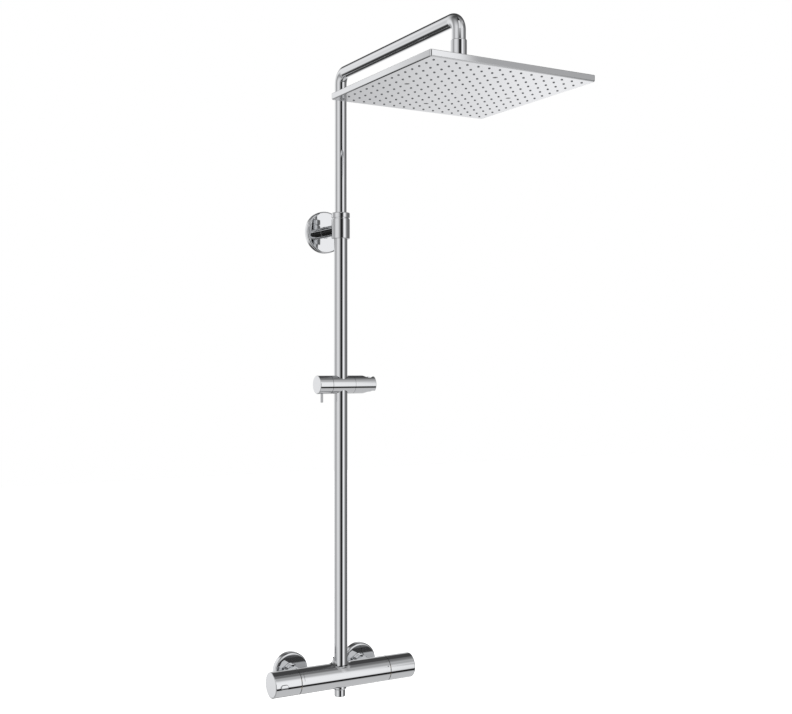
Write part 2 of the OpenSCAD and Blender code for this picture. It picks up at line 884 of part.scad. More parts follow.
module clamp_knob() {
    color(chrome) at_holder() difference() {
        translate([knob_out, 0, 0]) rounded_end_x(knob_w, holder_r, 1.2);
        rod_x(knob_out + 6, knob_in + eps, 4);
        translate([pin_x, 0, 0]) rod_z(-holder_r - 1, -8, pin_r);
    }
}

module lever_pin() {
    color(chrome) at_holder() translate([pin_x, 0, 0]) union() {
        rod_z(-pin_reach + 0.6, -8, pin_r);
        rotate([180, 0, 0]) rounded_top_pin();
    }
}

// Rounded tip of the lever pin
module rounded_top_pin() {
    translate([0, 0, pin_reach]) rounded_top_z(2, pin_r, 0.6);
}

cone_x = 56.2;
cone_top_r = 11.6;
cone_low_r = 10.2;

// Space below the cradle's tip: the lower side slopes up to a flat
module cradle_trim() {
    slope_x = cone_x - 3.6;
    flat_x = cone_x + 4.8;
    flat_z = -holder_r + 5;
    rotate([90, 0, 0]) linear_extrude(2 * holder_r + 2, center = true)
        polygon([[slope_x, -holder_r - 1], [slope_x, -holder_r], [flat_x, flat_z], [flat_x + 20, flat_z],
            [flat_x + 20, -holder_r - 1]]);
}

// Cradle with a conical socket that a slot opens towards +X
module handset_cradle() {
    color(chrome) at_holder() difference() {
        union() {
            translate([cradle_out, 0, 0]) mirror([1, 0, 0]) rounded_end_x(cradle_w, holder_r, 1.2);
            rod_x(half_body - 4, cradle_in + 1, trunnion_r);
        }
        translate([cone_x, 0, -holder_r - 0.1])
            cylinder(h = holder_d + 0.2, r1 = cone_low_r, r2 = cone_top_r);
        translate([cone_x, -hose_slot_w / 2, -holder_r - 1]) cube([20, hose_slot_w, holder_d + 2]);
        cradle_trim();
        rod_x(half_body - 5, cone_x, pivot_r + 0.05);
        rod_x(cradle_in + 16.95, cone_x, 4.55);
    }
}

// ---- assembly ------------------------------------------------------------

s_union(-inlet_spacing / 2);  // s_union_left
s_union(inlet_spacing / 2);  // s_union_right
inlet_rosette(-inlet_spacing / 2);  // inlet_rosette_left
inlet_rosette(inlet_spacing / 2);  // inlet_rosette_right
union_nut(-inlet_spacing / 2);  // union_nut_left
union_nut(inlet_spacing / 2);  // union_nut_right
filter_washer(-inlet_spacing / 2);  // filter_washer_left
filter_washer(inlet_spacing / 2);  // filter_washer_right
check_valve(-inlet_spacing / 2);  // check_valve_left
check_valve(inlet_spacing / 2);  // check_valve_right
mixer_body();
cartridge_seals();
thermostat_cartridge();
thermostat_lock_nut();
thermostat_spindle();
temperature_handle();
temperature_grub_screw();
safety_button();
button_spring();
diverter_cartridge();
diverter_lock_nut();
diverter_spindle();
diverter_handle();
diverter_grub_screw();
hose_nipple();
nipple_seal();
lower_tube();
column_seals();
bracket_wall_plate();
bracket_screws();
bracket_rosette();
bracket_spigot();
spigot_grub_screw();
spigot_bolt();
bracket_sleeve();
riser_collet();
height_lock_ring();
riser_guide();
riser_seals();
riser_arm();
arm_connector();
connector_washer();
holder_bush();
holder_body();
cradle_screw();
cradle_washer();
clamp_pad();
clamp_knob();
clamp_screw();
lever_pin();
handset_cradle();
ball_stem();
lower_ball_seat();
upper_ball_seat();
ball_nut();
head_shell();
nozzle_mat();
spray_plate();
head_screws();
centre_cap();
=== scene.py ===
"""Looks of the rainfall shower column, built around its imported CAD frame."""

import json
import math

import bmesh
import bpy
from mathutils import Matrix, Vector

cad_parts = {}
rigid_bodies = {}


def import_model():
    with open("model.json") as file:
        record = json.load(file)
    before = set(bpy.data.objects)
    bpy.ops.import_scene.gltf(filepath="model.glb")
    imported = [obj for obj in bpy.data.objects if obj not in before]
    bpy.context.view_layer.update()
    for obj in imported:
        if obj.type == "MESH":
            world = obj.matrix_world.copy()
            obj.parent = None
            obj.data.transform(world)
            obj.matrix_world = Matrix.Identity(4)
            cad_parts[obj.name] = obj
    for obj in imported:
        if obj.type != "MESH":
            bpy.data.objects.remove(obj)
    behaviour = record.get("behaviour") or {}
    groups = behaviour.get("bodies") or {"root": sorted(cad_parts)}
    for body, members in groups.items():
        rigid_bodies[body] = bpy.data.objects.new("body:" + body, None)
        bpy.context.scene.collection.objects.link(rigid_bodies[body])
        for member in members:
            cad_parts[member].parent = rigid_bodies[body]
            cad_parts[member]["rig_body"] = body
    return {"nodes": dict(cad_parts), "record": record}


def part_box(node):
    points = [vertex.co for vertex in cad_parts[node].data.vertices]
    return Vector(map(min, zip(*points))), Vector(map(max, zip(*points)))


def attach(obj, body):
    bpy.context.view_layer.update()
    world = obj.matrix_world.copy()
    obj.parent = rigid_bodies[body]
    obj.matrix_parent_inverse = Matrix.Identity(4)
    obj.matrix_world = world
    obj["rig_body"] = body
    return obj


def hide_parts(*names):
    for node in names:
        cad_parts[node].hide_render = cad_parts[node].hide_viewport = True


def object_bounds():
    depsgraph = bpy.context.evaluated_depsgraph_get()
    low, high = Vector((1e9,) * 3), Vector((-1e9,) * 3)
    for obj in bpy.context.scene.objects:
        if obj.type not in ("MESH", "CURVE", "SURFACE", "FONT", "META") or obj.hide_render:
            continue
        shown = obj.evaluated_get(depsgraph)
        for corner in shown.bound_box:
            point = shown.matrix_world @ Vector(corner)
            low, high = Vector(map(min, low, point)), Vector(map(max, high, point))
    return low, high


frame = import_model()
CAD_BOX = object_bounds()
MM = 0.001
TURN = 2 * math.pi
# Facets around a turned piece
SEGMENTS = 160
# A point nearer the axis than this, in metres, lies on it
ON_AXIS = 1e-9
# Edges that turn by more degrees than this stay hard
SHARP_FROM = 32


# ---- places read from the frame ------------------------------------------

def mm(value):
    """A length in metres as millimetres."""
    return value / MM


def middle(node):
    """Centre of a CAD node's box."""
    low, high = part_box(node)
    return (low + high) / 2


def size(node):
    """Width, depth and height of a CAD node's box, in millimetres."""
    low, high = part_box(node)
    return [mm(high[axis] - low[axis]) for axis in range(3)]


def body_of(node):
    """Name of the CAD body that holds a node."""
    return frame["nodes"][node]["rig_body"]


SLOT_OF = {row["node"]: row["material_slot"] for row in frame["record"]["subparts"]}
COLUMN = middle("lower_tube")
MIXER = middle("mixer_body")
MIXER.z = middle("temperature_handle").z
HOLDER = middle("holder_body")
HEAD = middle("head_shell")
BRACKET = middle("bracket_rosette")
HANDLE_R = size("temperature_handle")[2] / 2


# ---- materials -----------------------------------------------------------

def node_material(name):
    """New material with its tree, its shader and a node for the object's own coordinates."""
    made = bpy.data.materials.new(name)
    made.use_nodes = True
    tree = made.node_tree
    shader = tree.nodes["Principled BSDF"]
    coordinates = tree.nodes.new("ShaderNodeTexCoord")
    return made, tree, shader, coordinates


def noise_layer(tree, coordinates, scale, detail=4.0, stretch=(1, 1, 1)):
    """Noise texture over the object's own coordinates, in metres."""
    mapping = tree.nodes.new("ShaderNodeMapping")
    mapping.inputs["Scale"].default_value = stretch
    noise = tree.nodes.new("ShaderNodeTexNoise")
    noise.inputs["Scale"].default_value = scale
    noise.inputs["Detail"].default_value = detail
    tree.links.new(coordinates.outputs["Object"], mapping.inputs["Vector"])
    tree.links.new(mapping.outputs["Vector"], noise.inputs["Vector"])
    return noise


def spread(tree, source, low, high, start=0.3, end=0.7):
    """Value between low and high, following a texture's factor."""
    change = tree.nodes.new("ShaderNodeMapRange")
    change.inputs["From Min"].default_value = start
    change.inputs["From Max"].default_value = end
    change.inputs["To Min"].default_value = low
    change.inputs["To Max"].default_value = high
    tree.links.new(source.outputs["Fac"], change.inputs["Value"])
    return change.outputs["Result"]


def bump(tree, shader, source, strength, distance):
    """Fine relief from a texture."""
    relief = tree.nodes.new("ShaderNodeBump")
    relief.inputs["Strength"].default_value = strength
    relief.inputs["Distance"].default_value = distance
    tree.links.new(source.outputs["Fac"], relief.inputs["Height"])
    tree.links.new(relief.outputs["Normal"], shader.inputs["Normal"])


def metal(name, color, rough_low, rough_high, scale, stretch=(1, 1, 1), relief=0.0):
    """Metal whose roughness varies a little over its surface."""
    made, tree, shader, coordinates = node_material(name)
    shader.inputs["Base Color"].default_value = (*color, 1)
    shader.inputs["Metallic"].default_value = 1
    noise = noise_layer(tree, coordinates, scale, stretch=stretch)
    tree.links.new(spread(tree, noise, rough_low, rough_high), shader.inputs["Roughness"])
    if relief:
        bump(tree, shader, noise, relief, 0.02 * MM)
    return made


def moulded(name, dark, light, rough_low, rough_high, scale, relief, translucent=0.0):
    """Moulded plastic, rubber or silicone: mottled colour, soft gloss and a fine grain."""
    made, tree, shader, coordinates = node_material(name)
    noise = noise_layer(tree, coordinates, scale)
    ramp = tree.nodes.new("ShaderNodeValToRGB")
    ramp.color_ramp.elements[0].color = (*dark, 1)
    ramp.color_ramp.elements[1].color = (*light, 1)
    tree.links.new(noise.outputs["Fac"], ramp.inputs["Fac"])
    tree.links.new(ramp.outputs["Color"], shader.inputs["Base Color"])
    tree.links.new(spread(tree, noise, rough_low, rough_high), shader.inputs["Roughness"])
    shader.inputs["Subsurface Weight"].default_value = translucent
    bump(tree, shader, noise, relief, 0.05 * MM)
    return made


MATERIALS = {
    "chrome": metal("polished_chrome", (0.73, 0.738, 0.748), 0.03, 0.05, 9),
    "brass": metal("turned_brass", (0.71, 0.52, 0.24), 0.18, 0.32, 60, (1, 12, 12), 0.3),
    "steel": metal("bright_steel", (0.56, 0.57, 0.58), 0.2, 0.36, 80, (1, 8, 8), 0.3),
    "rubber": moulded("black_rubber", (0.012, 0.012, 0.013), (0.025, 0.025, 0.027), 0.5, 0.75, 400, 0.4),
    "plastic": moulded("white_acetal", (0.68, 0.68, 0.64), (0.78, 0.78, 0.75), 0.35, 0.5, 200, 0.2, 0.1),
    "silicone": moulded("grey_silicone", (0.11, 0.115, 0.122), (0.17, 0.175, 0.184), 0.4, 0.6, 300, 0.3),
}
MARK_PAINT = moulded("mark_paint", (0.10, 0.104, 0.11), (0.15, 0.154, 0.16), 0.4, 0.6, 300, 0.1)
# CAD nodes whose finish differs from the rest of their slot
SPECIAL = {
    "spray_plate": metal("satin_plate", (0.74, 0.748, 0.762), 0.1, 0.13, 14),
    # Head screws: steel with a dark base colour, so the screws show dark
    "head_screws": metal("dark_screw_steel", (0.13, 0.13, 0.135), 0.3, 0.42, 80, (1, 8, 8), 0.3),
}


def paint(obj, material):
    """Gives an object one material."""
    obj.data.materials.clear()
    obj.data.materials.append(material)


# ---- mesh helpers --------------------------------------------------------

def finish_mesh(obj):
    """Smooth shading that keeps hard edges hard."""
    for face in obj.data.polygons:
        face.use_smooth = True
    obj.data.set_sharp_from_angle(angle=math.radians(SHARP_FROM))
    return obj


def new_object(name, mesh):
    """Object for a mesh or camera, linked to the scene."""
    obj = bpy.data.objects.new(name, mesh)
    bpy.context.scene.collection.objects.link(obj)
    return obj


def place(obj, node):
    """Makes a finished mesh stand for a CAD node and move with its body."""
    paint(obj, MATERIALS[SLOT_OF[node]])
    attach(obj, body_of(node))
    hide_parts(node)
    return obj


# A holding point keeps smooth shading flat beside a fillet: its distance past the fillet's end
HOLD_GAP = 0.02
HOLD_SHARE = 0.3


def rounded(points, steps=5):
    """Closed outline from corners (r, h, fillet), with an arc and two holding points at each fillet."""
    outline = []
    count = len(points)
    for i, (r, h, fillet) in enumerate(points):
        corner = Vector((r, h))
        if fillet <= 0:
            outline.append(corner)
            continue
        before = (Vector(points[i - 1][:2]) - corner).normalized()
        after = (Vector(points[(i + 1) % count][:2]) - corner).normalized()
        half = before.angle(after) / 2
        reach = fillet / math.tan(half)
        centre = corner + (before + after).normalized() * fillet / math.sin(half)
        first = corner + before * reach - centre
        last = corner + after * reach - centre
        sweep = first.angle_signed(last)
        hold = HOLD_GAP + HOLD_SHARE * fillet
        outline.append(corner + before * (reach + hold))
        for k in range(steps + 1):
            outline.append(centre + Matrix.Rotation(-sweep * k / steps, 2) @ first)
        outline.append(corner + after * (reach + hold))
    return outline


def bridge(shape, one, two):
    """Faces between two rings of equal length."""
    count = len(one)
    for k in range(count):
        n = (k + 1) % count
        shape.faces.new((one[k], two[k], two[n], one[n]))


def mesh_from(shape, name):
    """Mesh of a finished bmesh, with its faces turned outwards."""
    bmesh.ops.recalc_face_normals(shape, faces=shape.faces)
    mesh = bpy.data.meshes.new(name)
    shape.to_mesh(mesh)
    shape.free()
    return mesh


def lathe_mesh(name, outline, segments=SEGMENTS):
    """Solid of revolution about Z from a closed outline of (r, h) in metres."""
    shape = bmesh.new()
    turns = [TURN * k / segments for k in range(segments)]
    rings = []
    for r, h in outline:
        if r < ON_AXIS:
            rings.append([shape.verts.new((0, 0, h))])
            continue
        rings.append([shape.verts.new((r * math.cos(t), r * math.sin(t), h)) for t in turns])
    for one, two in zip(rings, rings[1:] + rings[:1]):
        if len(one) == 1 and len(two) == 1:
            continue
        if len(one) == len(two):
            bridge(shape, one, two)
            continue
        for k in range(segments):
            n = (k + 1) % segments
            if len(one) == 1:
                shape.faces.new((one[0], two[k], two[n]))
            else:
                shape.faces.new((one[k], two[0], one[n]))
    return mesh_from(shape, name)


ALONG = {
    "+z": Matrix.Identity(4),
    "-z": Matrix.Rotation(math.pi, 4, "X"),
    "+x": Matrix.Rotation(math.pi / 2, 4, "Y"),
    "-x": Matrix.Rotation(-math.pi / 2, 4, "Y"),
    "-y": Matrix.Rotation(math.pi / 2, 4, "X"),
    "+y": Matrix.Rotation(-math.pi / 2, 4, "X"),
}


def turned(name, corners, at, along="+z", segments=SEGMENTS):
    """Turned piece: corners (r, h, fillet) in millimetres, h measured from at."""
    outline = [point * MM for point in rounded(corners)]
    obj = new_object(name, lathe_mesh(name, outline, segments))
    obj.data.transform(Matrix.Translation(at) @ ALONG[along])
    return finish_mesh(obj)


def cut(obj, cutter):
    """Takes the cutter's shape out of a piece, exactly, and removes the cutter."""
    step = obj.modifiers.new("cut", "BOOLEAN")
    step.operation = "DIFFERENCE"
    step.solver = "EXACT"
    step.object = cutter
    graph = bpy.context.evaluated_depsgraph_get()
    result = bpy.data.meshes.new_from_object(obj.evaluated_get(graph))
    obj.modifiers.remove(step)
    obj.data = result
    bpy.data.objects.remove(cutter)
    return finish_mesh(obj)


def join(first, *others):
    """Merges meshes into the first one."""
    shape = bmesh.new()
    for obj in (first, *others):
        shape.from_mesh(obj.data)
    shape.to_mesh(first.data)
    shape.free()
    for obj in others:
        bpy.data.objects.remove(obj)
    return finish_mesh(first)


def loft(name, rings, capped=True):
    """Surface through rings of equal length, closed by end faces or back to the first ring."""
    shape = bmesh.new()
    loops = [[shape.verts.new(Vector(point) * MM) for point in ring] for ring in rings]
    pairs = list(zip(loops, loops[1:]))
    if not capped:
        pairs.append((loops[-1], loops[0]))
    for one, two in pairs:
        bridge(shape, one, two)
    if capped:
        shape.faces.new(loops[0][::-1])
        shape.faces.new(loops[-1])
    return finish_mesh(new_object(name, mesh_from(shape, name)))


def swept_tube(name, path, r_out, r_in, segments=96):
    """Hollow tube along a path in the YZ plane."""
    shape = bmesh.new()
    side = Vector((1, 0, 0))
    turns = [TURN * n / segments for n in range(segments)]
    skins = []
    for r in (r_out, r_in):
        loops = []
        for k, point in enumerate(path):
            ahead = path[min(k + 1, len(path) - 1)] - path[max(k - 1, 0)]
            up = side.cross(ahead.normalized())
            ring = [point + (side * math.cos(t) + up * math.sin(t)) * r for t in turns]
            loops.append([shape.verts.new(corner) for corner in ring])
        skins.append(loops)
    outer, inner = skins
    closed = outer + inner[::-1]
    for one, two in zip(closed, closed[1:] + closed[:1]):
        bridge(shape, one, two)
    return finish_mesh(new_object(name, mesh_from(shape, name)))


def moved(obj, where):
    """Shifts a mesh's own points."""
    obj.data.transform(Matrix.Translation(where))
    return obj


# ---- camera and light ----------------------------------------------------

def make_camera():
    """The photograph's viewpoint: level, to the left of the column, looking at the head and mixer."""
    camera = bpy.data.cameras.new("camera")
    camera.sensor_width = 36
    camera.lens = 50.6
    camera.shift_x = 0.0530
    camera.shift_y = 0.0060
    obj = new_object("camera", camera)
    obj.location = (-0.9973, -1.9315, 0.5897)
    obj.rotation_euler = (math.radians(90), 0, math.radians(-28.88))
    bpy.context.scene.camera = obj


# Brightness around the horizon: degrees to the right of straight ahead of the object
AROUND = [
    (-180, 0.55), (-171, 0.9), (-160, 1.0), (-149, 1.0), (-140, 0.66), (-131, 0.36), (-114, 0.5),
    (-98, 0.8), (-78, 0.95), (-58, 0.82), (-46, 0.55), (-35, 0.2), (-27, 0.02), (-5, 0.02), (2, 0.4),
    (9, 0.95), (16, 1.15), (29, 1.1), (38, 0.62), (50, 0.3), (62, 0.2), (92, 0.17), (112, 0.22),
    (126, 0.4), (135, 0.95), (141, 1.05), (147, 0.85), (154, 0.55), (166, 0.4), (180, 0.55),
]
# Brightness from straight down to straight up
UPWARD = [
    (-90, 0.5), (-66, 0.6), (-52, 0.78), (-40, 0.85), (-18, 0.98), (0, 1.0), (24, 1.0), (36, 0.78),
    (46, 0.55), (55, 0.35), (64, 0.2), (90, 0.1),
]
# Dark and bright panels: bearing from, west and east edge, lower and upper edge, softness, brightness
FLAGS = [
    ("front", 18, 150, -80, -40, 8, 0.66),
    ("front", -12, 78, -38, -21, 3.5, 0.015),
    ("front", 32, 80, 38, 82, 9, 0.55),
    ("front", 46, 130, 52, 95, 9, 0.2),
    ("front", 31.6, 60, 9, 20, 1.5, 0.5),
    ("front", -36, 4, 18, 62, 1.5, 0.9),
    ("back", -30, 33, -52, -21, 7, 0.05),
    ("back", -12, 85, 26, 95, 7, 0.07),
]


def make_world():
    """Studio surroundings: white to the camera, soft boxes and dark gaps in the reflections."""
    world = bpy.data.worlds.new("studio")
    bpy.context.scene.world = world
    world.use_nodes = True
    tree = world.node_tree
    tree.nodes.clear()
    coordinates = tree.nodes.new("ShaderNodeTexCoord")
    split = tree.nodes.new("ShaderNodeSeparateXYZ")
    tree.links.new(coordinates.outputs["Generated"], split.inputs["Vector"])

    def feed(socket, value):
        """Sets a socket to a number, or links it."""
        if isinstance(value, (int, float)):
            socket.default_value = value
        else:
            tree.links.new(value, socket)

    def compute(operation, *values):
        """One step of arithmetic on numbers or sockets."""
        made = tree.nodes.new("ShaderNodeMath")
        made.operation = operation
        for socket, value in zip(made.inputs, values):
            feed(socket, value)
        return made.outputs[0]

    def ramp(factor, position_of, stops):
        """Brightness at a factor, from stops (degrees, brightness)."""
        made = tree.nodes.new("ShaderNodeValToRGB")
        ends = made.color_ramp.elements
        while len(ends) > 1:
            ends.remove(ends[-1])
        for k, (degrees, grey) in enumerate(stops):
            position = position_of(degrees)
            stop = ends[0] if k == 0 else ends.new(position)
            stop.position = position
            stop.color = (grey, grey, grey, 1)
        tree.links.new(factor, made.inputs["Fac"])
        return made.outputs["Color"]

    def step(value, edge, soft, before, after):
        """Soft change from one value to another at an edge."""
        made = tree.nodes.new("ShaderNodeMapRange")
        made.interpolation_type = "SMOOTHSTEP"
        feed(made.inputs["Value"], value)
        made.inputs["From Min"].default_value = edge - soft
        made.inputs["From Max"].default_value = edge + soft
        made.inputs["To Min"].default_value = before
        made.inputs["To Max"].default_value = after
        return made.outputs["Result"]

    def inside(value, low, high, soft):
        """One between two edges and zero outside them."""
        rise = step(value, low, soft, 0, 1)
        fall = step(value, high, soft, 1, 0)
        return compute("MULTIPLY", rise, fall)

    # Bearings in degrees, positive to the right, from straight ahead (-Y) and from straight behind
    ahead = compute("MULTIPLY", split.outputs["Y"], -1)
    front = compute("DEGREES", compute("ARCTAN2", split.outputs["X"], ahead))
    back = compute("DEGREES", compute("ARCTAN2", split.outputs["X"], split.outputs["Y"]))
    height = compute("DEGREES", compute("ARCSINE", split.outputs["Z"]))
    turn_share = compute("ADD", compute("DIVIDE", front, 360), 0.5)
    around = ramp(turn_share, lambda degrees: degrees / 360 + 0.5, AROUND)
    height_share = compute("ADD", compute("DIVIDE", height, 180), 0.5)
    upward = ramp(height_share, lambda degrees: degrees / 180 + 0.5, UPWARD)
    light = compute("MULTIPLY", around, upward)
    for bearing, west, east, low, high, soft, grey in FLAGS:
        side = inside(front if bearing == "front" else back, west, east, soft)
        mask = compute("MULTIPLY", side, inside(height, low, high, soft))
        light = compute("ADD", light, compute("MULTIPLY", mask, compute("SUBTRACT", grey, light)))

    studio = tree.nodes.new("ShaderNodeBackground")
    studio.inputs["Color"].default_value = (1, 1, 1.01, 1)
    tree.links.new(light, studio.inputs["Strength"])
    white = tree.nodes.new("ShaderNodeBackground")
    white.inputs["Color"].default_value = (1, 1, 1, 1)
    rays = tree.nodes.new("ShaderNodeLightPath")
    choose = tree.nodes.new("ShaderNodeMixShader")
    output = tree.nodes.new("ShaderNodeOutputWorld")
    tree.links.new(rays.outputs["Is Camera Ray"], choose.inputs["Fac"])
    tree.links.new(studio.outputs["Background"], choose.inputs[1])
    tree.links.new(white.outputs["Background"], choose.inputs[2])
    tree.links.new(choose.outputs["Shader"], output.inputs["Surface"])


def make_floor():
    """Pale floor under the column, seamless with the white surroundings."""
    reach = 12
    below = 0.9
    corners = [(-reach, -reach, 0), (reach, -reach, 0), (reach, reach, 0), (-reach, reach, 0)]
    mesh = bpy.data.meshes.new("floor")
    mesh.from_pydata(corners, [], [(0, 1, 2, 3)])
    obj = new_object("floor", mesh)
    obj.location = (COLUMN.x, COLUMN.y, CAD_BOX[0].z - below)
    made, tree, shader, _ = node_material("floor_white")
    shader.inputs["Base Color"].default_value = (0.9, 0.9, 0.9, 1)
    shader.inputs["Roughness"].default_value = 1
    shader.inputs["Specular IOR Level"].default_value = 0
    shader.inputs["Emission Color"].default_value = (1, 1, 1, 1)
    shader.inputs["Emission Strength"].default_value = 1
    paint(obj, made)
    obj.visible_glossy = False


# ---- pieces --------------------------------------------------------------

def make_tubes():
    """Lower tube, and the riser bent into the arm."""
    lower_wall = 1.5
    width, _, length = size("lower_tube")
    r = width / 2
    corners = [(r - lower_wall, 0, 0), (r, 0, 0.2), (r, length, 0.4), (r - lower_wall, length, 0.2)]
    at = (COLUMN.x, COLUMN.y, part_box("lower_tube")[0].z)
    place(turned("tube_lower", corners, at), "lower_tube")

    low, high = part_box("riser_arm")
    r = (high.x - low.x) / 2
    wall = 1.2 * MM
    bend = 20 * MM
    straight = 2 * MM
    top = high.z - r
    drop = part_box("arm_connector")[0].z + 3 * MM
    steps = 24
    turns = [math.pi / 2 * k / steps for k in range(steps + 1)]
    route = [(COLUMN.y, low.z), (COLUMN.y, low.z + straight)]
    route += [(COLUMN.y - bend + bend * math.cos(t), top - bend + bend * math.sin(t)) for t in turns]
    route += [(HEAD.y + bend - bend * math.sin(t), top - bend + bend * math.cos(t)) for t in turns]
    route += [(HEAD.y, drop + straight), (HEAD.y, drop)]
    path = [Vector((COLUMN.x, y, z)) for y, z in route]
    place(swept_tube("tube_riser", path, r, r - wall), "riser_arm")


def make_rosettes():
    """Cups on the wall over the two inlets and the bracket."""
    wall = 1.6
    skirt = 3.1
    inlet_hole = 13.05
    holes = {
        "inlet_rosette_left": inlet_hole,
        "inlet_rosette_right": inlet_hole,
        "bracket_rosette": 11.1,
    }
    for name, hole in holes.items():
        width, depth, _ = size(name)
        r = width / 2
        at = middle(name)
        at.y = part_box(name)[1].y
        corners = [(r, 0, 0.3), (r, depth, 3), (hole, depth, 0.4), (hole, depth - wall, 0),
                   (r - skirt, depth - wall, 1), (r - skirt, 0, 0)]
        place(turned("cup_" + name, corners, at, "-y"), name)


def stadium(half, r, steps=14):
    """Oblong outline around the origin, as (x, z) points."""
    points = []
    for centre, start in ((half, -90), (-half, 90)):
        for k in range(steps + 1):
            turn = math.radians(start + 180 * k / steps)
            points.append((centre + r * math.cos(turn), r * math.sin(turn)))
    return points


def on_bar(outline, r):
    """Oblong outline laid on the front of a bar of radius r."""
    return [(x, -math.sqrt(r * r - z * z), z) for x, z in outline]


def screw_hole(at):
    """Tool that cuts a grub screw's hole down from a point on a bar's axis."""
    return turned("tool", [(0, 0, 0), (2, 0, 0), (2, 30, 0), (0, 30, 0)], at, "-z", 40)


# Release button: an oblong of two half circles, in millimetres
BUTTON_HALF = 3.2
BUTTON_R = 4.3
BUTTON_EDGE = 0.9
BUTTON_STEM_START = 12.6


def make_handle(name, node, end_x, along):
    """Hollow handle, closed at its outer end, with a hub and a grub screw hole."""
    length = size(node)[0]
    bore = HANDLE_R - 2.6
    hub = 9
    # The extra rings on the outside keep the boolean's long faces evenly shaded
    rings = [(HANDLE_R, h, 0) for h in (6, 11, 17, 36)]
    corners = [(0, 0, 0), (HANDLE_R, 0, 1.6), *rings, (HANDLE_R, length, 0.3), (bore, length, 0.2),
               (bore, 3, 1), (hub, 3, 0.6), (hub, 26, 0.4), (5.02, 26, 0.2), (5.02, 6, 0), (0, 6, 0)]
    handle = turned(name, corners, (end_x, MIXER.y, MIXER.z), along)
    hole_x = end_x + (8 if along == "+x" else -8) * MM
    return cut(handle, screw_hole((hole_x, MIXER.y, MIXER.z)))


def make_handles():
    """Temperature handle with its release button, and diverter handle."""
    low_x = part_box("temperature_handle")[0].x
    handle = make_handle("handle_temperature", "temperature_handle", low_x, "+x")
    button_x = middle("safety_button").x
    hole = [on_bar(stadium(BUTTON_HALF, BUTTON_R + 0.2), r) for r in (HANDLE_R - 6, HANDLE_R + 2)]
    tool = moved(loft("tool", hole), (button_x, MIXER.y, MIXER.z))
    place(cut(handle, tool), "temperature_handle")

    face_r = HANDLE_R + 2.2
    edge_steps = 6
    face_steps = 5
    rings = [on_bar(stadium(BUTTON_HALF, BUTTON_R), HANDLE_R - 3.2)]
    for k in range(edge_steps + 1):
        a = math.pi / 2 * k / edge_steps
        outline = stadium(BUTTON_HALF, BUTTON_R - BUTTON_EDGE * (1 - math.cos(a)))
        rings.append(on_bar(outline, face_r - BUTTON_EDGE * (1 - math.sin(a))))
    for k in range(1, face_steps + 1):
        outline = stadium(BUTTON_HALF, (BUTTON_R - BUTTON_EDGE) * (1 - k / face_steps) + 0.02)
        rings.append(on_bar(outline, face_r))
    flange = [on_bar(stadium(BUTTON_HALF, BUTTON_R + 1), r) for r in (HANDLE_R - 4.2, HANDLE_R - 2.75)]
    stem_corners = [(0, 0, 0), (1.8, 0, 0.4), (1.8, 8, 0), (0, 8, 0)]
    stem = turned("stem", stem_corners, (0, -BUTTON_STEM_START * MM, 0), "-y", 48)
    button = join(loft("button", rings), loft("flange", flange), stem)
    place(moved(button, (button_x, MIXER.y, MIXER.z)), "safety_button")

    high_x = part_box("diverter_handle")[1].x
    place(make_handle("handle_diverter", "diverter_handle", high_x, "-x"), "diverter_handle")


def make_flare():
    """Socket of the lower tube, blended into the mixer bar by a concave fillet."""
    tube = mm(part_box("lower_tube")[1].x)
    wall = 13.1
    top = 33.2
    fillet = 9
    count = 144
    steps = 16
    gap = 0.05
    # Each row is a radius, what the height is measured from, and the height
    profile = [(tube + gap, "level", 8), (wall + fillet, "bar", -2)]
    for k in range(steps + 1):
        out = fillet * (1 - k / steps)
        lift = fillet - math.sqrt(max(fillet ** 2 - (fillet - out) ** 2, 0))
        profile.append((wall + out, "bar", lift - 0.02))
    profile += [(wall, "level", top - 0.2), (wall - 0.06, "level", top - 0.06), (wall - 0.2, "level", top)]
    profile += [(tube + gap, "level", top - 0.1)]
    rings = []
    for r, kind, height in profile:
        ring = []
        for k in range(count):
            turn = TURN * k / count
            y = r * math.sin(turn)
            base = math.sqrt(HANDLE_R ** 2 - y * y) if kind == "bar" else 0
            ring.append((r * math.cos(turn), y, base + height))
        rings.append(ring)
    return moved(loft("flare", rings, capped=False), (COLUMN.x, MIXER.y, MIXER.z))


MARK_DEPTH = 0.28


